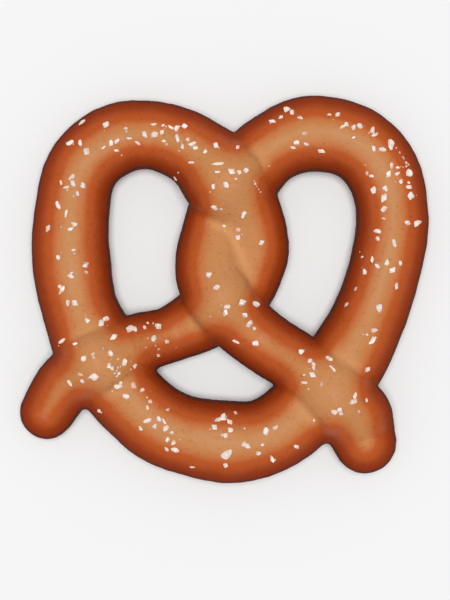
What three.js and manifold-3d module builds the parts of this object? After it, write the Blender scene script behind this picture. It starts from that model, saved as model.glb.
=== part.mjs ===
// A soft pretzel: one rope of dough, looped and crossed twice in the middle, with both ends laid over the
// bow, proved and baked lying on a flat tray. The dough has grown together wherever it touches, so the
// pretzel is one solid. Millimetres, +Z up. The origin is on the tray, under the centre of the outline, and
// the bow lies towards -Y.
import * as THREE from "three";
import { mergeVertices } from "three/addons/utils/BufferGeometryUtils.js";
import Module from "manifold-3d";

// Driving dimensions.
const FLATNESS = 0.78; // height of the rope's section over its width: soft dough sags as it proves
const SINK = 0.22; // share of the section's half height that the tray flattens
const ROPE_SIDES = 20; // corners of the rope's section
const RINGS_PER_STATION = 5; // sections from one station to the next, which lie about 16 mm apart
const CAP_RINGS = 5; // sections that round off an end of the rope
const TRAY_MARGIN = 20; // how far the block that trims the underside flat reaches past the pretzel
const CRUST = { color: 0xb4602c, roughness: 0.45, metalness: 0.0 };

// The rope from its left end to its right end, as [x, y, half width, lift]. Lift is how far above the tray
// the rope is carried by what lies under it: 0 where it lies on the tray itself.
const ROPE = [
  [-65.5, -45.5, 10.0, 0.0], // left end
  [-58.0, -35.0, 11.4, 4.0],
  [-47.0, -27.0, 12.0, 11.0], // left arm, over the bow
  [-33.5, -20.6, 11.4, 7.0],
  [-20.4, -16.9, 10.2, 1.0],
  [-8.1, -10.8, 11.8, 0.0],
  [4.5, -2.5, 11.6, 0.0], // lower crossing, underneath
  [12.0, 11.5, 11.6, 1.5],
  [10.5, 26.0, 11.2, 5.0],
  [1.0, 38.5, 15.7, 5.5], // upper crossing, on top
  [-10.5, 50.0, 13.6, 3.0],
  [-26.5, 56.5, 12.9, 0.0],
  [-42.0, 54.0, 13.5, 0.0], // left shoulder
  [-52.5, 43.5, 13.4, 0.0],
  [-56.0, 28.0, 13.9, 0.0],
  [-56.5, 12.0, 14.4, 0.0],
  [-53.5, -6.5, 14.0, 0.0],
  [-46.0, -23.5, 15.9, 0.0],
  [-36.0, -39.5, 14.3, 0.0],
  [-20.5, -51.5, 14.4, 0.0],
  [-2.0, -56.0, 15.1, 0.0], // middle of the bow
  [16.0, -53.9, 14.3, 0.0],
  [33.0, -41.2, 14.6, 0.0],
  [43.5, -28.0, 15.0, 0.0],
  [52.5, -11.5, 13.9, 0.0],
  [58.5, 7.0, 13.6, 0.0],
  [61.5, 25.5, 13.3, 0.0],
  [58.0, 43.0, 13.8, 0.0],
  [47.0, 54.0, 13.9, 0.0], // right shoulder
  [31.5, 56.9, 14.0, 0.0],
  [17.0, 51.5, 13.2, 0.0],
  [5.0, 39.5, 14.2, 0.0], // upper crossing, underneath
  [-3.0, 28.0, 11.1, 1.5],
  [-6.0, 9.0, 12.3, 5.0],
  [-1.0, -4.5, 12.7, 8.0], // lower crossing, on top
  [12.2, -17.8, 11.4, 4.0],
  [26.9, -27.7, 11.5, 8.0],
  [40.0, -38.0, 12.0, 11.0], // right arm, over the bow
  [47.5, -46.5, 13.8, 4.5],
  [51.2, -56.1, 11.8, 0.0], // right end
];
const LEFT_SHOULDER = 12;
const RIGHT_SHOULDER = 28;
const RIGHT_END = ROPE.length - 1;

const wasm = await Module();
wasm.setup();

// The rope as two smooth curves through the stations: where its middle runs, and how wide and how lifted
// it is.
const smooth = (points) => new THREE.CatmullRomCurve3(points, false, "catmullrom");
const route = smooth(ROPE.map(([x, y]) => new THREE.Vector3(x, y, 0)));
const girth = smooth(ROPE.map(([, , halfWidth, lift]) => new THREE.Vector3(halfWidth, lift, 0)));

// The rope's section at a station number, which need not be whole: its middle, its half width and half
// height, and the level directions along and across the rope.
function sectionAt(station) {
  const share = station / RIGHT_END;
  const { x: halfWidth, y: lift } = girth.getPoint(share);
  const halfHeight = halfWidth * FLATNESS;
  const middle = route.getPoint(share).setZ(Math.max(lift, 0) + halfHeight * (1 - SINK));
  const along = route.getTangent(share);
  const across = new THREE.Vector3(-along.y, along.x, 0);
  return { middle, halfWidth, halfHeight, along, across };
}

// The corners of a section, shrunk to `size` and moved on by `push` half widths along the rope.
function ring({ middle, halfWidth, halfHeight, along, across }, push = 0, size = 1) {
  return Array.from({ length: ROPE_SIDES }, (_, i) => {
    const turn = (2 * Math.PI * i) / ROPE_SIDES;
    return middle
      .clone()
      .addScaledVector(along, push * halfWidth)
      .addScaledVector(across, size * halfWidth * Math.cos(turn))
      .setZ(middle.z + size * halfHeight * Math.sin(turn));
  });
}

// The rings that round off an end, from the full section outwards. Way is -1 at the start of a length and 1
// at its end.
function capRings(section, way) {
  return Array.from({ length: CAP_RINGS - 1 }, (_, i) => {
    const turn = ((Math.PI / 2) * (i + 1)) / CAP_RINGS;
    return ring(section, way * Math.sin(turn), Math.cos(turn));
  });
}

// The point that closes a rounded end.
const pole = ({ middle, along, halfWidth }, way) => middle.clone().addScaledVector(along, way * halfWidth);

// A length of the rope between two stations, round at both ends, as one closed solid.
function ropeLength(first, last) {
  const start = sectionAt(first);
  const end = sectionAt(last);
  const rings = capRings(start, -1).reverse();
  for (let i = 0; i <= (last - first) * RINGS_PER_STATION; i++)
    rings.push(ring(sectionAt(first + i / RINGS_PER_STATION)));
  rings.push(...capRings(end, 1));
  const corners = [...rings.flat(), pole(start, -1), pole(end, 1)];
  const startPole = corners.length - 2;
  const endPole = corners.length - 1;
  const lastRing = (rings.length - 1) * ROPE_SIDES;
  const faces = [];
  for (let side = 0; side < ROPE_SIDES; side++) {
    const next = (side + 1) % ROPE_SIDES;
    faces.push(startPole, next, side);
    for (let here = 0; here < lastRing; here += ROPE_SIDES) {
      const there = here + ROPE_SIDES;
      faces.push(here + side, here + next, there + next);
      faces.push(here + side, there + next, there + side);
    }
    faces.push(endPole, lastRing + side, lastRing + next);
  }
  return solidFrom(corners.flatMap((corner) => corner.toArray()), faces);
}

function solidFrom(positions, faces) {
  return new wasm.Manifold(
    new wasm.Mesh({
      numProp: 3,
      vertProperties: new Float32Array(positions),
      triVerts: new Uint32Array(faces),
    }),
  );
}

// The space below the tray's surface, which trims the underside flat.
function trayBlock({ min, max }) {
  const width = max[0] - min[0] + 2 * TRAY_MARGIN;
  const depth = max[1] - min[1] + 2 * TRAY_MARGIN;
  const box = new THREE.BoxGeometry(width, depth, TRAY_MARGIN).translate(0, 0, -TRAY_MARGIN / 2);
  box.deleteAttribute("normal");
  box.deleteAttribute("uv");
  const merged = mergeVertices(box);
  return solidFrom(merged.attributes.position.array, merged.index.array);
}

// A solid as a three.js geometry.
function geometryFrom(solid) {
  const { numProp, vertProperties, triVerts } = solid.getMesh();
  const geometry = new THREE.BufferGeometry();
  geometry.setAttribute("position", new THREE.BufferAttribute(vertProperties, numProp));
  geometry.setIndex(new THREE.BufferAttribute(triVerts, 1));
  geometry.computeVertexNormals();
  return geometry;
}

// The two arms and the bow share the shoulders' sections, and each arm lies over the bow near its end.
const rope = ropeLength(0, LEFT_SHOULDER)
  .add(ropeLength(LEFT_SHOULDER, RIGHT_SHOULDER))
  .add(ropeLength(RIGHT_SHOULDER, RIGHT_END));
const outline = rope.boundingBox();
const dough = rope
  .subtract(trayBlock(outline))
  .translate([-(outline.min[0] + outline.max[0]) / 2, -(outline.min[1] + outline.max[1]) / 2, 0]);

const pretzel = new THREE.Mesh(geometryFrom(dough), new THREE.MeshStandardMaterial(CRUST));
pretzel.name = "pretzel";

const part = new THREE.Group();
part.add(pretzel);

export default part;
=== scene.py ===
# A soft pretzel with coarse salt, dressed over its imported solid. Metres, +Z up.
import random

import bpy
import numpy as np
from mathutils import Euler, Matrix, Vector
from mathutils.kdtree import KDTree


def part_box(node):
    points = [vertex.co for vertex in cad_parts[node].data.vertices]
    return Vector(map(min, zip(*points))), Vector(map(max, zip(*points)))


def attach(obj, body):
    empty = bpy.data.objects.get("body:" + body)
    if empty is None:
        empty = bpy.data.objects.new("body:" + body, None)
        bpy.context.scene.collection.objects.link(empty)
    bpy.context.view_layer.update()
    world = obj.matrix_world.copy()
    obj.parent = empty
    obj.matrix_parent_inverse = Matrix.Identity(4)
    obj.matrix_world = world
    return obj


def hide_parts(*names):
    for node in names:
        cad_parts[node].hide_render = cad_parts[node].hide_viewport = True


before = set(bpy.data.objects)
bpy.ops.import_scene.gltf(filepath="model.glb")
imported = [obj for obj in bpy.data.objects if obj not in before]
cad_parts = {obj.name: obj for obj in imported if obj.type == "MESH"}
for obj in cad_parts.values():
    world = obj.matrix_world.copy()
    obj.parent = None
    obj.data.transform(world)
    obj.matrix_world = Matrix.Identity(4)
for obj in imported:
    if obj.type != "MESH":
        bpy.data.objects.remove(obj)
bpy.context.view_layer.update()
MM = 0.001
UP = Vector((0, 0, 1))


# ---------------------------------------------------------------------------------------------------------
# The view. The camera stands straight over the pretzel, far enough off to see it nearly flat. Its field is
# measured at half the rope's height, and grains of salt are placed by steps across and down that field.
# ---------------------------------------------------------------------------------------------------------
FIELD_STEPS = (450, 600)  # across and down
STEP = 0.36675 * MM
FIELD_CENTRE = Vector((0.46 * MM, -4.03 * MM, 9.5 * MM))
LENS = 150.0
SENSOR = 36.0
CAMERA_HEIGHT = FIELD_STEPS[1] * STEP * LENS / SENSOR

bpy.ops.object.camera_add(location=FIELD_CENTRE + UP * CAMERA_HEIGHT, rotation=(0, 0, 0))
camera = bpy.context.object
camera.data.lens = LENS
camera.data.sensor_width = SENSOR
bpy.context.scene.camera = camera
bpy.context.scene.view_settings.view_transform = "Standard"


# ---------------------------------------------------------------------------------------------------------
# The baked dough. One rope of soft dough, thick at the bow and thin at the ends, was looped, crossed twice
# and laid over itself, then dipped in lye and baked. Its strands have grown together into soft folds, and
# its skin is thin, tight and brown. Its colour also holds painted shade and light: darkest round its widest
# part, where its sides turn from the light overhead, golden on the lit top, and paler underneath, partly as
# its own tray-baked skin and partly as painted light on the shaded underside.
# ---------------------------------------------------------------------------------------------------------
SAME_CORNER = 0.001 * MM  # corners of the solid's loose triangles that lie this close are one corner
CRUST_FACE = 0.8 * MM  # across a face of the skin
SMOOTHING = 0.5  # how far each round of smoothing takes a vertex towards its neighbours
SKIN_ROUNDS = 5
FOLD_ROUNDS = 60  # which fill the folds softly
FOLD_SINK = (0.002 * MM, 0.012 * MM)  # how far a fold lies below its neighbours, at its edge and inside
FACING_UP = (0.15, 0.6)  # rise of the normal from which the skin begins to face up, and wholly does
EVENING_ROUNDS = 4  # rounds that take the unevenness out of a measure of the skin
FOLD_WIDENING = 8  # rounds that widen a fold
FOLD_GAIN = 1.4  # makes up for what those rounds take from the middle of a fold
WEIGHT_STEPS = 50  # from a vertex group's least weight to its most
FLAT_BELOW = 0.6 * MM  # height under which the dough has no lumps
LUMPY_ABOVE = 4.0 * MM  # and above which it has them in full
TRAY_CONTACT = 0.35 * MM  # skin that lies lower than this rests on the tray
# How far across each kind of lump is, and how high.
LUMPS = {"rolled": (22 * MM, 0.9 * MM), "proved": (7 * MM, 0.3 * MM), "blistered": (3 * MM, 0.18 * MM)}


def only(piece):
    """Makes this the one selected and active object."""
    bpy.ops.object.select_all(action="DESELECT")
    piece.select_set(True)
    bpy.context.view_layer.objects.active = piece


def apply_modifier(piece, kind, **settings):
    """Adds a modifier with these settings and applies it."""
    only(piece)
    modifier = piece.modifiers.new(kind.lower(), kind)
    for setting, value in settings.items():
        setattr(modifier, setting, value)
    bpy.ops.object.modifier_apply(modifier=modifier.name)


def weigh(piece, name, weights):
    """Makes a vertex group that holds these weights, rounded to whole steps."""
    group = piece.vertex_groups.new(name=name)
    steps = np.round(weights * WEIGHT_STEPS).astype(int)
    for step in range(1, WEIGHT_STEPS + 1):
        group.add(np.flatnonzero(steps == step).tolist(), step / WEIGHT_STEPS, "REPLACE")


def keep_values(piece, name, values):
    """Keeps a value for each vertex as an attribute, which the piece's material reads."""
    attribute = piece.data.attributes.new(name, "FLOAT", "POINT")
    attribute.data.foreach_set("value", values.astype(np.float32))


def vertex_places(mesh):
    rows = np.empty(3 * len(mesh.vertices), np.float32)
    mesh.vertices.foreach_get("co", rows)
    return rows.reshape(-1, 3)


def vertex_normals(mesh):
    rows = np.empty(3 * len(mesh.vertices), np.float32)
    mesh.vertex_normals.foreach_get("vector", rows)
    return rows.reshape(-1, 3)


def neighbour_mean(mesh, values, rounds=1):
    """Swaps each vertex's value, or row, for the mean of its neighbours', for this many rounds."""
    ends = np.empty(2 * len(mesh.edges), np.int32)
    mesh.edges.foreach_get("vertices", ends)
    near, far = ends.reshape(-1, 2).T
    count = np.bincount(ends, minlength=len(values)).astype(np.float32)
    for _ in range(rounds):
        total = np.zeros_like(values)
        np.add.at(total, near, values[far])
        np.add.at(total, far, values[near])
        values = (total.T / count).T
    return values


def smooth_step(low, high, values):
    """Nought up to low, one from high on, and a soft step from one to the other."""
    share = np.clip((values - low) / (high - low), 0, 1)
    return share * share * (3 - 2 * share)


def widen(mesh, fold):
    """Spreads how much of a fold each vertex is, from nought to one, to the skin around it."""
    return np.minimum(FOLD_GAIN * neighbour_mean(mesh, fold, FOLD_WIDENING), 1)


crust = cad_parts["pretzel"].copy()
crust.data = crust.data.copy()
crust.name = "pretzel_crust"
crust.parent = None
for key in list(crust.keys()):
    del crust[key]
bpy.context.scene.collection.objects.link(crust)
only(crust)
bpy.ops.object.mode_set(mode="EDIT")
bpy.ops.mesh.select_all(action="SELECT")
bpy.ops.mesh.remove_doubles(threshold=SAME_CORNER)
bpy.ops.object.mode_set(mode="OBJECT")
apply_modifier(crust, "REMESH", mode="VOXEL", voxel_size=CRUST_FACE)
apply_modifier(crust, "SMOOTH", factor=SMOOTHING, iterations=SKIN_ROUNDS)

# A fold is where a vertex's neighbours stand higher, along its normal, than it does. Only folds that face
# up are smoothed out, but the skin of every fold is kept as sunken for the crust's material.
skin = crust.data
normals = vertex_normals(skin)
rise = neighbour_mean(skin, vertex_places(skin)) - vertex_places(skin)
sink = (rise * normals).sum(axis=1)
fold = smooth_step(*FOLD_SINK, neighbour_mean(skin, sink, EVENING_ROUNDS))
facing_up = neighbour_mean(skin, smooth_step(*FACING_UP, normals[:, 2]), EVENING_ROUNDS)
weigh(crust, "folds", widen(skin, fold * facing_up))
keep_values(crust, "sunken", widen(skin, fold))
apply_modifier(crust, "SMOOTH", factor=SMOOTHING, iterations=FOLD_ROUNDS, vertex_group="folds")

# The dough is uneven all over but for the underside, which is flat where the tray bore it.
weigh(crust, "lumpy", smooth_step(FLAT_BELOW, LUMPY_ABOVE, vertex_places(crust.data)[:, 2]))
for name, (across, height) in LUMPS.items():
    texture = bpy.data.textures.new(name, "CLOUDS")
    texture.noise_scale = across
    texture.noise_depth = 0
    apply_modifier(crust, "DISPLACE", texture=texture, strength=height, vertex_group="lumpy")
settled = vertex_places(crust.data)
settled[:, 2] = np.where(settled[:, 2] < TRAY_CONTACT, 0, settled[:, 2])
crust.data.vertices.foreach_set("co", settled.ravel())
crust.data.update()

# The inset is how far in from the outline, seen from above, the skin lies. It is below nought underneath.
PROBE = 0.4 * MM  # from one look down for the outline to the next
UNDERNEATH = -0.05  # rise of the normal below which the skin belongs to the underside
INSET_ROUNDS = 3
low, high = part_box("pretzel")
columns = np.arange(low.x - 2 * PROBE, high.x + 2 * PROBE, PROBE)
rows = np.arange(low.y - 2 * PROBE, high.y + 2 * PROBE, PROBE)
covered = np.array([[crust.ray_cast((x, y, 2 * high.z), -UP)[0] for x in columns] for y in rows])
edges_across = np.argwhere(covered[:, 1:] != covered[:, :-1])
edges_along = np.argwhere(covered[1:] != covered[:-1])
outline = [(columns[column] + PROBE / 2, rows[row], 0) for row, column in edges_across]
outline += [(columns[column], rows[row] + PROBE / 2, 0) for row, column in edges_along]
nearest = KDTree(len(outline))
for number, point in enumerate(outline):
    nearest.insert(point, number)
nearest.balance()
insets = np.array([nearest.find((x, y, 0))[2] for x, y, _ in vertex_places(crust.data)], np.float32)
insets *= np.where(vertex_normals(crust.data)[:, 2] < UNDERNEATH, -1, 1)
for _ in range(INSET_ROUNDS):
    insets = (insets + neighbour_mean(crust.data, insets)) / 2
keep_values(crust, "inset", insets)
only(crust)
bpy.ops.object.shade_smooth()


class Wire:
    """An output in a material's node tree, which can stand in a Python expression."""

    def __init__(self, tree, output):
        self.tree = tree
        self.output = output

    def node(self, kind, settings, sockets, output=0):
        """Adds a node, sets it up, feeds its sockets with values or wires, and gives one output."""
        made = self.tree.nodes.new(kind)
        for name, value in settings.items():
            if name == "stops":
                while len(made.color_ramp.elements) < len(value):
                    made.color_ramp.elements.new(1.0)
                for element, (position, colour) in zip(made.color_ramp.elements, value):
                    element.position = position
                    element.color = colour
            else:
                setattr(made, name, value)
        for name, value in sockets.items():
            if isinstance(value, Wire):
                self.tree.links.new(value.output, made.inputs[name])
            else:
                made.inputs[name].default_value = value
        return Wire(self.tree, made.outputs[output])

    def maths(self, operation, first, second=0.0):
        return self.node("ShaderNodeMath", {"operation": operation}, {0: first, 1: second})

    def __add__(self, other):
        return self.maths("ADD", self, other)

    def __radd__(self, other):
        return self.maths("ADD", other, self)

    def __sub__(self, other):
        return self.maths("SUBTRACT", self, other)

    def __rsub__(self, other):
        return self.maths("SUBTRACT", other, self)

    def __mul__(self, other):
        return self.maths("MULTIPLY", self, other)

    def __rmul__(self, other):
        return self.maths("MULTIPLY", other, self)

    def __truediv__(self, other):
        return self.maths("DIVIDE", self, other)

    def between(self, low, high):
        """Nought up to low, one from high on, and a soft step from one to the other."""
        sockets = {"Value": self, "From Min": low, "From Max": high}
        return self.node("ShaderNodeMapRange", {"interpolation_type": "SMOOTHSTEP"}, sockets)

    def noise(self, size, detail=2.0, roughness=0.5):
        """Soft noise from nought to one, with patches of this size, at this wire's place."""
        sockets = {"Vector": self, "Scale": 1 / size, "Detail": detail, "Roughness": roughness}
        return self.node("ShaderNodeTexNoise", {}, sockets)

    def blend(self, first, second):
        """The colour between two, from the first at nought to the second at one."""
        # A mix node has many sockets of one name, so its factor, its colours and its result go by number.
        return self.node("ShaderNodeMix", {"data_type": "RGBA"}, {0: self, 6: first, 7: second}, 2)

    def ramp(self, stops):
        """The colour at this wire's share of a row of stops, each with its share and its colour."""
        return self.node("ShaderNodeValToRGB", {"stops": stops}, {"Fac": self})

    def attribute(self, name):
        """The value that the piece keeps at each vertex under this name."""
        return self.node("ShaderNodeAttribute", {"attribute_name": name}, {}, "Fac")

    def bump(self):
        """The normal of a skin that stands as many millimetres high as this wire says."""
        return self.node("ShaderNodeBump", {}, {"Height": self, "Distance": MM, "Strength": 1.0})

    def feed(self, shader, socket):
        self.tree.links.new(self.output, shader.inputs[socket])


def new_material(name, **constants):
    """A node material with these constants on its shader, that shader, and its Object coordinates."""
    material = bpy.data.materials.new(name)
    material.use_nodes = True
    shader = material.node_tree.nodes["Principled BSDF"]
    for socket, value in constants.items():
        shader.inputs[socket.replace("_", " ")].default_value = value
    coordinates = material.node_tree.nodes.new("ShaderNodeTexCoord")
    return material, shader, Wire(material.node_tree, coordinates.outputs["Object"])


def srgb(red, green, blue):
    """A colour given in steps from 0 to 255, as linear light, opaque."""
    shares = [step / 255 for step in (red, green, blue)]
    return (*[c / 12.92 if c <= 0.04045 else ((c + 0.055) / 1.055) ** 2.4 for c in shares], 1)


# The crust's brown, with painted light and shade in it, by inset in millimetres. It starts in the middle of
# the underside, below nought, paler there partly as the tray-baked skin and partly as painted light that
# lifts the shaded underside. It is darkest at the outline, painted shade where the sides turn away from the
# light overhead, and grows paler towards the top of the rope, which faces the light: painted light. Its last
# stop lifts the middle of the twist and the crossings, where the folds lie in shade: painted light.
BROWN_AND_PAINTED_SHADE = [
    (-7.0, srgb(170, 114, 70)),
    (-4.5, srgb(152, 87, 46)),
    (-2.0, srgb(122, 52, 22)),
    (0.0, srgb(88, 34, 15)),
    (0.5, srgb(98, 38, 16)),
    (0.9, srgb(116, 45, 19)),
    (1.5, srgb(140, 51, 18)),
    (2.4, srgb(147, 53, 16)),
    (3.4, srgb(151, 59, 17)),
    (5.5, srgb(177, 78, 29)),
    (7.5, srgb(183, 86, 37)),
    (9.3, srgb(194, 114, 65)),
    (12.0, srgb(195, 132, 81)),
    (16.0, srgb(199, 137, 88)),
]
UNDERMOST, TOPMOST = BROWN_AND_PAINTED_SHADE[0][0], BROWN_AND_PAINTED_SHADE[-1][0]
PALE_FOLD = srgb(226, 168, 114)
FRECKLE = srgb(96, 34, 12)
# What is uneven in the crust, as the size of its patches, its detail and its roughness.
PATCHES = (15 * MM, 2.0, 0.5)
SPECKS = (2.6 * MM, 4.0, 0.6)
FRECKLES = (1.4 * MM, 3.0, 0.65)
WRINKLES = (3.2 * MM, 3.0, 0.6)
PORES = (1.1 * MM, 2.0, 0.5)
PATCHES_SHIFT = 1.5  # how far a patch shifts the browning, in millimetres of inset
SPECKS_SHIFT = 1.2
WRINKLES_HEIGHT = 0.34  # millimetres
PORES_HEIGHT = 0.18
FRECKLED = (0.56, 0.74)  # the noise at a freckle's edge, and where it is as dark as it gets
FRECKLE_STRENGTH = 0.3
FOLD_PALENESS = 0.3
# The inset in millimetres from which each of these starts, and from which it is in full.
MOTTLED = (0.5, 6.0)
FOLDS_PALE = (6.0, 11.0)
GLAZED = (2.0, 4.5)
TOP_DULL = (5.0, 9.5)
TOP_DULLNESS = 0.8  # share of the glaze that the top of the rope lacks
FOLD_DULLNESS = 0.9
GLAZE = 0.36  # how strong the glaze is on average, from nought to one
GLAZE_PATCHINESS = 0.6
GLAZE_ROUGHNESS = 0.28
SHEEN = 0.04  # of the skin under the glaze
ROUGHNESS = 0.62
GLAZED_SMOOTHER = 0.12  # how much less rough the skin is where it is glazed
SPECKS_ROUGHER = 0.2


def baked_crust():
    """Brown with painted shade and light by its inset and mottled, glazed by the lye on its sides, and
    freckled and wrinkled all over.
    """
    material, shader, place = new_material(
        "baked_crust", Specular_IOR_Level=SHEEN, Coat_Roughness=GLAZE_ROUGHNESS
    )
    inset = place.attribute("inset") / MM
    sunken = place.attribute("sunken")
    patches = place.noise(*PATCHES) - 0.5
    specks = place.noise(*SPECKS) - 0.5
    mottled = inset.maths("ABSOLUTE", inset).between(*MOTTLED)
    # Where the skin lies on the ramp of brown and painted shade: its inset, shifted by the mottling.
    shade_and_brown_depth = inset + mottled * (patches * PATCHES_SHIFT + specks * SPECKS_SHIFT)
    stops = [((mm - UNDERMOST) / (TOPMOST - UNDERMOST), colour) for mm, colour in BROWN_AND_PAINTED_SHADE]
    # Painted shade and light: dark round the sides and the outline, pale on the top that faces the light.
    shaded_brown = ((shade_and_brown_depth - UNDERMOST) / (TOPMOST - UNDERMOST)).ramp(stops)
    shaded_brown = (sunken * inset.between(*FOLDS_PALE) * FOLD_PALENESS).blend(shaded_brown, PALE_FOLD)
    freckles = place.noise(*FRECKLES).between(*FRECKLED)
    (freckles * FRECKLE_STRENGTH).blend(shaded_brown, FRECKLE).feed(shader, "Base Color")
    below_top = 1 - inset.between(*TOP_DULL) * TOP_DULLNESS
    glazed = inset.between(*GLAZED) * below_top * (1 - sunken * FOLD_DULLNESS)
    (glazed * (GLAZE + GLAZE_PATCHINESS * patches)).feed(shader, "Coat Weight")
    (ROUGHNESS - GLAZED_SMOOTHER * glazed + SPECKS_ROUGHER * specks).feed(shader, "Roughness")
    wrinkles = place.noise(*WRINKLES) * WRINKLES_HEIGHT + place.noise(*PORES) * PORES_HEIGHT
    wrinkles.bump().feed(shader, "Normal")
    return material


crust.data.materials.clear()
crust.data.materials.append(baked_crust())
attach(crust, "root")
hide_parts("pretzel")


# ---------------------------------------------------------------------------------------------------------
# The coarse salt. Hard, broken white crystals, one to five millimetres long and mostly about two and a half,
# were strewn over the wet dough by hand and baked fast with their feet in the crust.
# ---------------------------------------------------------------------------------------------------------
# Each grain is given by its steps across and down the field, its length and width in steps, and its turn
# in degrees from the field's own width, anticlockwise.
LEFT_SHOULDER_GRAINS = [
    (82, 122.5, 7.5, 5, 60), (105.5, 124.5, 7, 6, 80), (125, 128, 4.5, 3, 0), (153, 124, 7, 2.5, 0),
    (70, 142.5, 8, 4.5, 30), (80, 142.5, 7.5, 4.5, 90), (86, 151, 7, 5.5, 90), (110.5, 142.5, 7, 4, 90),
    (103, 147, 5, 2.5, 25), (116.5, 140.5, 6.5, 4, 30), (116, 150, 5, 2.5, 0), (128.5, 138, 6.5, 2.5, 0),
    (137, 142.5, 6, 3, -25), (144, 134, 7, 5.5, 90), (154, 134.5, 7, 6.5, 90), (71, 177, 8, 4.5, 30),
    (60.5, 182, 5, 2.5, 90), (72.5, 183, 7, 5.5, 90), (82.5, 184.5, 7, 5.5, 90), (65.5, 187, 6.5, 3.5, 0),
    (77, 193, 5.5, 4, 90),
]
UPPER_CROSSING_GRAINS = [
    (162.5, 125, 3.5, 3, 0), (161.5, 132, 5, 4, 90), (170.5, 127, 6.5, 2.5, -25), (176, 128.5, 7, 5, 90),
    (178, 126.5, 3.5, 3, 40), (184, 126, 6, 5, 0), (177, 138, 9, 4.5, 90), (187.5, 139, 4.5, 4, 90),
    (163.5, 140.5, 4.5, 3, 0), (182, 145.5, 7, 3.5, 90), (192, 143.5, 9, 3.5, 25), (195, 147.5, 5.5, 4, 0),
    (205, 151, 4.5, 4.5, 0), (215.5, 145.5, 5.5, 5, 0), (237, 147, 4.5, 4, 90), (191, 162, 6, 2.5, 0),
    (217, 163.5, 13, 3.5, 0), (217, 171.5, 5.5, 2.5, 0), (231, 171, 7, 5, 0), (238.5, 172, 4.5, 4.5, 0),
    (245, 170, 5.5, 5, 0), (234.5, 178.5, 3.5, 2.5, 0), (225.5, 184.5, 8, 5, -55), (213, 186, 5.5, 4, 90),
]
RIGHT_SHOULDER_GRAINS = [
    (272, 121, 7.5, 3, 0), (280.5, 117, 4.5, 4, 0), (287, 109.5, 7.5, 6, 0), (291.5, 112.5, 5.5, 4.5, 90),
    (299.5, 117, 6, 4, 0), (328.5, 114, 5.5, 3, 0), (337, 114.5, 5, 5, 0), (341, 127, 8.5, 3.5, 25),
    (346, 124, 4.5, 4, 0), (352.5, 127, 6, 5, 90), (359.5, 125.5, 6, 6, 0), (372, 130, 7.5, 5.5, 90),
    (374.5, 134.5, 7.5, 3, 25), (353, 137, 3.5, 2.5, 0), (296, 142, 6, 5, 0), (307, 144, 7.5, 3.5, -25),
    (292.5, 147, 5.5, 2.5, 0), (321, 150.5, 7.5, 3.5, 0), (373, 148, 7, 4.5, 90), (382, 149, 7.5, 4.5, 0),
    (390, 145, 12, 6.5, 85), (391, 165, 7, 4, 90), (397, 167, 4, 2.5, 0), (388, 173.5, 7, 4, 90),
    (397, 173, 6, 3.5, 30), (408, 172.5, 8, 7.5, 90), (400, 181, 5.5, 4.5, 90), (408, 182, 3.5, 3, 0),
    (408, 186.5, 6.5, 4, 0), (371, 175.5, 5.5, 3, 0), (373, 189.5, 7.5, 6, 90), (384.5, 188, 7, 6, 90),
    (383.5, 197.5, 9, 5.5, 90), (409.5, 195.5, 7.5, 6.5, -60),
]
LEFT_SIDE_GRAINS = [
    (57.5, 205, 9, 4, -65), (65.5, 212.5, 10, 3, 85), (73, 223.5, 7, 5, -40), (70, 228.5, 6, 4, 0),
    (48, 228, 7, 5, 90), (73, 249.5, 4.5, 2.5, 0), (58, 257, 5.5, 4.5, 90), (85.5, 265, 7.5, 5.5, 45),
    (71, 272.5, 3.5, 2.5, 30), (70, 276, 7, 4.5, 0), (58.5, 285.5, 5, 3.5, 0), (62, 288, 7, 6, 90),
    (67.5, 302.5, 7, 4, 90), (74.5, 302.5, 6.5, 5.5, 0),
]
TWIST_GRAINS = [
    (214, 206.5, 7, 6, 0), (220.5, 208.5, 4, 2.5, 0), (243, 214, 8, 4.5, 65), (224, 226, 4.5, 3.5, -50),
    (238, 237, 5, 5, 0), (261, 242, 6.5, 4.5, 60), (207.5, 273.5, 7, 6, -30), (216, 287, 7, 5, 50),
    (225, 306, 9, 4, 0), (225, 312, 8, 5, 85), (241.5, 302, 8, 7, 0), (255, 303.5, 8, 6, -40),
    (244, 314.5, 6.5, 6, 0), (248.5, 323, 8.5, 6, 35), (254, 328, 4, 4, 0), (235.5, 341, 8, 3, -30),
    (255, 342.5, 6.5, 6, 0),
]
LEFT_CROSSING_GRAINS = [
    (87, 320, 6.5, 5.5, 90), (100.5, 323, 9, 5.5, 85), (105, 318.5, 7, 4.5, 20), (129, 328.5, 9, 6, 25),
    (134.5, 329, 6, 4, -60), (113, 337, 8.5, 4.5, 60), (62, 340.5, 8.5, 4, 25), (75, 343.5, 5.5, 2.5, 20),
    (110, 353, 6.5, 5.5, 90), (83.5, 358, 6, 5, 90), (123.5, 362, 8, 4.5, 80), (134, 365.5, 5, 5, 0),
    (108.5, 365.5, 6, 5.5, 45), (111.5, 367.5, 4, 4, 0), (118, 373, 4, 3, 45), (82, 380.5, 4.5, 4.5, 0),
    (93.5, 376, 8.5, 6.5, 30), (69.5, 382.5, 8, 3.5, -65), (117, 386, 9.5, 6.5, 0), (120, 382, 4, 4, 0),
    (125.5, 395.5, 7.5, 6, -40), (140.5, 390.5, 7, 4, 30), (99, 410, 4, 3.5, 0), (147, 407, 4.5, 2.5, -80),
    (157, 327.5, 8, 6.5, 90), (153, 338, 6.5, 5.5, 90), (144, 327, 3.5, 3, 0), (147, 322.5, 3.5, 2.5, -20),
]
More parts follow.
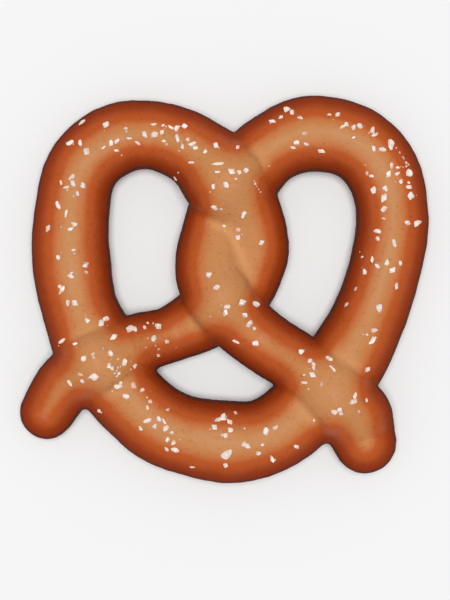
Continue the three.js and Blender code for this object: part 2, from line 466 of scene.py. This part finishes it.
BOW_GRAINS = [
    (147, 420, 9, 5, 10), (153.5, 426, 5.5, 5.5, 0), (140, 428, 5, 3, -60), (158.5, 418.5, 6, 5.5, 90),
    (163.5, 420.5, 7, 3, -60), (165.5, 427.5, 8, 5, 65), (171.5, 432, 3.5, 3.5, 0),
    (167, 439, 5.5, 4.5, 40), (173.5, 442, 5.5, 5, 90), (166, 448.5, 5, 4, -20), (174.5, 449.5, 8, 6, 0),
    (217, 419.5, 8, 4.5, 15), (223, 417.5, 9, 7, 50), (229, 421.5, 6.5, 4, -20), (214, 427, 6, 5.5, 0),
    (230, 429.5, 6, 5, 0), (225, 435, 5, 4.5, 90), (265.5, 430.5, 9.5, 6.5, 90), (244, 443.5, 6, 5, 60),
    (247, 445.5, 6, 5, 0), (262, 444, 4, 3, 25), (258, 452.5, 5.5, 4.5, 0), (271.5, 458.5, 7.5, 3.5, -70),
    (273.5, 459.5, 4, 3, 20), (227, 453, 14, 8, 42), (225, 464.5, 5, 5, 0), (296, 446, 6, 3.5, -20),
]
RIGHT_CROSSING_GRAINS = [
    (302, 351, 7.5, 6.5, 0), (309.5, 360.5, 5, 4.5, 0), (313, 366, 9, 4, 90), (312, 374.5, 6.5, 5.5, 0),
    (304, 382, 6.5, 3.5, -20), (328.5, 358.5, 8.5, 5.5, -60), (332, 368, 8.5, 2.5, -50),
    (366.5, 369, 5.5, 5.5, 0), (354.5, 395, 8, 4, 65), (352.5, 401, 8, 5.5, 0), (365.5, 399.5, 4.5, 4, 90),
    (334, 411.5, 6.5, 5, 0), (339, 409, 5, 5, 0), (340.5, 413, 4, 3, 0),
]
RIGHT_SIDE_GRAINS = [
    (383.5, 208.5, 7, 4.5, 60), (407, 222.5, 6, 5, 0), (416.5, 222.5, 9.5, 6, 35),
    (377, 230.5, 8, 4.5, -10), (377, 238, 5, 4.5, 0), (393.5, 242.5, 8.5, 4.5, 90), (372, 259, 7, 3, 85),
    (386.5, 260.5, 8.5, 5.5, 65), (399.5, 262.5, 5.5, 4, 80), (377, 265.5, 7, 4, -35),
    (391.5, 269.5, 6.5, 6, 90), (364, 270, 8, 5, 90), (395.5, 285.5, 7, 4.5, 90), (378.5, 308, 9, 6, 90),
    (373.5, 330, 7.5, 5, 20), (372, 340, 10, 4, 60), (366.5, 334, 3, 2.5, 0), (362, 256.5, 3, 2.5, 0),
]
COARSE_GRAINS = (
    LEFT_SHOULDER_GRAINS + UPPER_CROSSING_GRAINS + RIGHT_SHOULDER_GRAINS + LEFT_SIDE_GRAINS + TWIST_GRAINS
    + LEFT_CROSSING_GRAINS + BOW_GRAINS + RIGHT_CROSSING_GRAINS + RIGHT_SIDE_GRAINS
)
# These grains lie half melted in the dough: sunk past their middles and stained by the crust.
MELTED_GRAINS = [
    (175, 178, 5.5, 2.5, -55), (304, 133, 6, 4, 0), (166, 144, 4.5, 3.5, 0), (366.5, 173, 5, 4, 90),
    (383, 218, 4.5, 2.5, -30), (237.5, 229, 5.5, 5, 0), (85.5, 272, 5.5, 4, 0), (355, 288.5, 5.5, 3, 65),
    (346, 304, 5, 4, 80), (166.5, 341, 5, 4, 0), (159, 348.5, 4.5, 3.5, 0), (92, 354, 5, 4.5, 90),
    (158, 355, 4, 3, 0), (117, 370.5, 3.5, 3.5, 0), (80.5, 374, 7, 4, 0), (304, 374.5, 4, 2.5, 0),
    (321.5, 383.5, 5.5, 4.5, 90), (133, 385, 6.5, 6, 0), (149.5, 401, 4.5, 4, 0), (167.5, 409, 5.5, 4, 20),
    (358, 411, 3.5, 3.5, 0), (235.5, 413, 5.5, 4.5, 0), (275, 427, 6.5, 5, 30), (222, 434.5, 4, 3.5, 0),
    (192, 466.5, 6, 2.5, 0),
]
CRYSTAL_KINDS = 14
SEED = 7
SEEDS = 999  # how many seeds there are for the straying of a crystal's corners
LEAN = 1.5  # most that the cube leans before it is broken, in radians
BREAKS = 6  # flat breaks across each crystal
BREAK_DEPTH = (0.3, 0.48)  # how far from its middle a break lies, in its own size
SHORT_EDGE = 0.02  # edges shorter than this close up, in its own size
WORN = 0.07  # how far its edges are worn, in its own size
ROUGH = 0.04  # how far its corners stray, in its own size
HEIGHT = (0.65, 0.9)  # height of a grain over its width
UPRIGHT = 0.3  # how far a grain stands upright where the crust slopes, from nought to one
TIP = (0.35, 0.25)  # most that a grain tips about its length and about its width, in radians
BEDDED = 0.3  # share of a clean grain's height that is in the crust
SUNK = 0.55  # and of a melted one's
CLEAN_STAIN = (0.0, 0.22)  # how far the crust has stained a clean grain, from nought to one
MELTED_STAIN = (0.4, 0.65)
CLEAR_SALT = srgb(254, 243, 232)
CLOUDY_SALT = srgb(230, 218, 210)
STAINED_SALT = srgb(205, 132, 84)
CLOUDS = 1.6 * MM  # size of the clouds in the salt
CLOUDED = (0.35, 0.65)  # the noise at a cloud's edge, and where it is at its thickest
FROST = 0.35 * MM  # size of the bumps on its skin
FROST_HEIGHT = 0.08  # millimetres
GLOW_DEPTH = 0.8 * MM  # how far light gets into it

chance = random.Random(SEED)


def white_salt():
    """Frosted and slightly see-through, cloudy in places, and stained by the crust it lies in."""
    material, shader, place = new_material(
        "white_salt", Roughness=0.4, Subsurface_Weight=0.15, Subsurface_Scale=GLOW_DEPTH
    )
    clean = place.noise(CLOUDS).between(*CLOUDED).blend(CLEAR_SALT, CLOUDY_SALT)
    place.attribute("stain").blend(clean, STAINED_SALT).feed(shader, "Base Color")
    (place.noise(FROST) * FROST_HEIGHT).bump().feed(shader, "Normal")
    return material


def crystal():
    """A broken crystal one across each way: a leaning cube with flat breaks across it and worn edges."""
    lean = (chance.uniform(0, LEAN), chance.uniform(0, LEAN), 0)
    bpy.ops.mesh.primitive_cube_add(size=1.0, location=(0, 0, 0), rotation=lean)
    shape = bpy.context.object
    bpy.ops.object.transform_apply(location=False, rotation=True, scale=False)
    bpy.ops.object.mode_set(mode="EDIT")
    for _ in range(BREAKS):
        across = Vector((chance.uniform(-1, 1), chance.uniform(-1, 1), chance.uniform(-1, 1))).normalized()
        point = across * chance.uniform(*BREAK_DEPTH)
        bpy.ops.mesh.select_all(action="SELECT")
        bpy.ops.mesh.bisect(plane_co=point, plane_no=across, use_fill=True, clear_outer=True)
    bpy.ops.mesh.select_all(action="SELECT")
    bpy.ops.mesh.remove_doubles(threshold=SHORT_EDGE)
    bpy.ops.mesh.bevel(offset=WORN, segments=1, affect="EDGES")
    bpy.ops.mesh.select_all(action="SELECT")
    bpy.ops.transform.vertex_random(offset=ROUGH, seed=chance.randrange(SEEDS))
    bpy.ops.mesh.normals_make_consistent(inside=False)
    bpy.ops.object.mode_set(mode="OBJECT")
    corners = vertex_places(shape.data)
    middle = Vector((corners.max(axis=0) + corners.min(axis=0)).tolist()) / 2
    spans = corners.max(axis=0) - corners.min(axis=0)
    shape.data.transform(Matrix.Diagonal((*(1 / spans).tolist(), 1)) @ Matrix.Translation(-middle))
    return shape


def seat(shape, across, down, size, turn, tip, bedded, stain):
    """Copies a crystal onto the crust under one place of the field, turned, tipped, bedded and stained."""
    step_right = (across + 0.5 - FIELD_STEPS[0] / 2) * STEP
    step_up = (FIELD_STEPS[1] / 2 - down - 0.5) * STEP
    aim = FIELD_CENTRE + Vector((step_right, step_up, 0)) - camera.location
    found, spot, normal, _ = crust.ray_cast(camera.location, aim.normalized())
    if not found:
        return None
    upright = UP.rotation_difference(normal.lerp(UP, UPRIGHT)).to_matrix().to_4x4()
    centre = spot + normal * size[2] * (0.5 - bedded)
    grain = shape.copy()
    grain.data = shape.data.copy()
    bpy.context.scene.collection.objects.link(grain)
    placing = Matrix.Translation(centre) @ upright @ Matrix.Rotation(turn, 4, "Z") @ tip.to_matrix().to_4x4()
    grain.data.transform(placing @ Matrix.Diagonal((*size, 1)))
    keep_values(grain, "stain", np.full(len(grain.data.vertices), stain))
    return grain


def either_way(most):
    return chance.uniform(-most, most)


def strew(grains, bedded, stains):
    """Seats a crystal of some kind at each grain's place, as long, as wide and as turned as it says."""
    seated = []
    for across, down, length, width, turn in grains:
        tip = Euler((either_way(TIP[0]), either_way(TIP[1]), 0))
        turned = np.radians(turn) + chance.choice((0, np.pi))
        stain = chance.uniform(*stains)
        size = (length * STEP, width * STEP, width * STEP * chance.uniform(*HEIGHT))
        seated.append(seat(chance.choice(kinds), across, down, size, turned, tip, bedded, stain))
    return seated


def gather(grains, name):
    """Joins the grains that found the crust into one piece of salt with this name."""
    grains = [grain for grain in grains if grain]
    bpy.ops.object.select_all(action="DESELECT")
    for grain in grains:
        grain.select_set(True)
    bpy.context.view_layer.objects.active = grains[0]
    bpy.ops.object.join()
    piece = bpy.context.object
    piece.name = name
    piece.data.materials.clear()
    piece.data.materials.append(salt)
    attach(piece, "root")


salt = white_salt()
kinds = [crystal() for _ in range(CRYSTAL_KINDS)]
clean_grains = strew(COARSE_GRAINS, BEDDED, CLEAN_STAIN)
gather(clean_grains + strew(MELTED_GRAINS, SUNK, MELTED_STAIN), "coarse_salt")


# ---------------------------------------------------------------------------------------------------------
# The salt crumbs. Splinters and dust knocked off the coarse salt, from a quarter of a millimetre to one and
# a half across, that stuck wherever they fell, mostly beside the big grains.
# ---------------------------------------------------------------------------------------------------------
# Each crumb is given by its steps across and down the field and its size in steps.
SINGLE_CRUMBS = [
    (126, 131, 2), (67, 189.5, 2), (73, 195.5, 2), (164.5, 128, 1.5), (166, 126, 1.5), (179, 150.5, 2),
    (178, 172, 1.5), (268.5, 165.5, 2), (253.5, 180.5, 2.5), (254.5, 183, 3), (256, 186, 2), (258, 189, 1.5),
    (260, 191.5, 1.5), (368.5, 132.5, 2), (365, 164.5, 2), (395.5, 147.5, 2), (399, 152, 2.5),
    (402, 156.5, 2), (403, 158, 2), (405.5, 162.5, 3), (407.5, 164.5, 2), (405.5, 166, 2), (402.5, 167, 2),
    (400, 166.5, 2), (60.5, 226.5, 2), (74, 253, 2.5), (59.5, 292.5, 2.5), (102.5, 348, 2.5), (117, 358, 3),
    (119.5, 366, 2), (117, 367, 3), (130, 368.5, 2), (114, 372.5, 3), (116, 375.5, 3), (93.5, 357, 3),
    (152.5, 323, 2), (147, 338, 2.5), (145.5, 347, 1.8), (155, 345, 2), (112, 390.5, 1.5), (146.5, 397, 2.5),
    (210, 316, 2), (241.5, 234, 2.5), (175.5, 347, 1.3), (210, 428.5, 2.5), (244, 428, 2), (314, 419.5, 3),
    (308, 388.5, 2.5), (362.5, 334, 2), (270.5, 455, 1.5), (101, 412, 1.5), (142.5, 389, 2),
]
SPLINTER_TRIES = 2
SPLINTER_CHANCE = 0.22  # that a coarse grain shed a splinter, at each try
SPLINTER_REACH = (3, 7)  # steps from the grain that it came off
SPLINTER_SIZE = (0.7, 1.5)  # steps
CRUMB_SPREAD = (0.75, 1.2)  # each of a crumb's length, width and height, over its size
CRUMB_TIP = 0.6  # radians
CRUMB_STAIN = (0.15, 0.6)


def shed(grains):
    """The splinters that these grains shed, each as its place in the field and its size in steps."""
    splinters = []
    for across, down, *_ in grains:
        for _ in range(SPLINTER_TRIES):
            if chance.random() < SPLINTER_CHANCE:
                away = chance.uniform(*SPLINTER_REACH)
                way = chance.uniform(0, 2 * np.pi)
                wide = chance.uniform(*SPLINTER_SIZE)
                splinters.append((across + away * np.cos(way), down + away * np.sin(way), wide))
    return splinters


def scatter(crumbs):
    """Seats a crystal of some kind at each crumb's place, turned anyhow."""
    seated = []
    for across, down, wide in crumbs:
        size = [wide * chance.uniform(*CRUMB_SPREAD) * STEP for _ in range(3)]
        tip = Euler((either_way(CRUMB_TIP), either_way(CRUMB_TIP), 0))
        turned = chance.uniform(0, 2 * np.pi)
        stain = chance.uniform(*CRUMB_STAIN)
        seated.append(seat(chance.choice(kinds), across, down, size, turned, tip, BEDDED, stain))
    return seated


gather(scatter(SINGLE_CRUMBS + shed(COARSE_GRAINS)), "salt_crumbs")
for kind in kinds:
    bpy.data.objects.remove(kind)


# ---------------------------------------------------------------------------------------------------------
# The studio. A wide pale floor, a soft light straight overhead and a pale glow from all round.
# ---------------------------------------------------------------------------------------------------------
FLOOR_SIZE = 8.0
FLOOR_TONE = 0.86
GLOW = 0.36
LIGHT = 2.25
LIGHT_SOFTNESS = 0.5  # radians across, seen from the pretzel

bpy.ops.mesh.primitive_plane_add(size=FLOOR_SIZE, location=(0, 0, 0))
floor = bpy.context.object
floor.name = "floor"
paint, _, _ = new_material("floor", Roughness=0.9, Base_Color=(FLOOR_TONE, FLOOR_TONE, FLOOR_TONE, 1))
floor.data.materials.append(paint)

world = bpy.data.worlds.new("studio")
world.use_nodes = True
world.node_tree.nodes["Background"].inputs["Color"].default_value = (1, 1, 1, 1)
world.node_tree.nodes["Background"].inputs["Strength"].default_value = GLOW
bpy.context.scene.world = world

bpy.ops.object.light_add(type="SUN", rotation=(0, 0, 0))
overhead = bpy.context.object
overhead.name = "overhead"
overhead.data.energy = LIGHT
overhead.data.angle = LIGHT_SOFTNESS
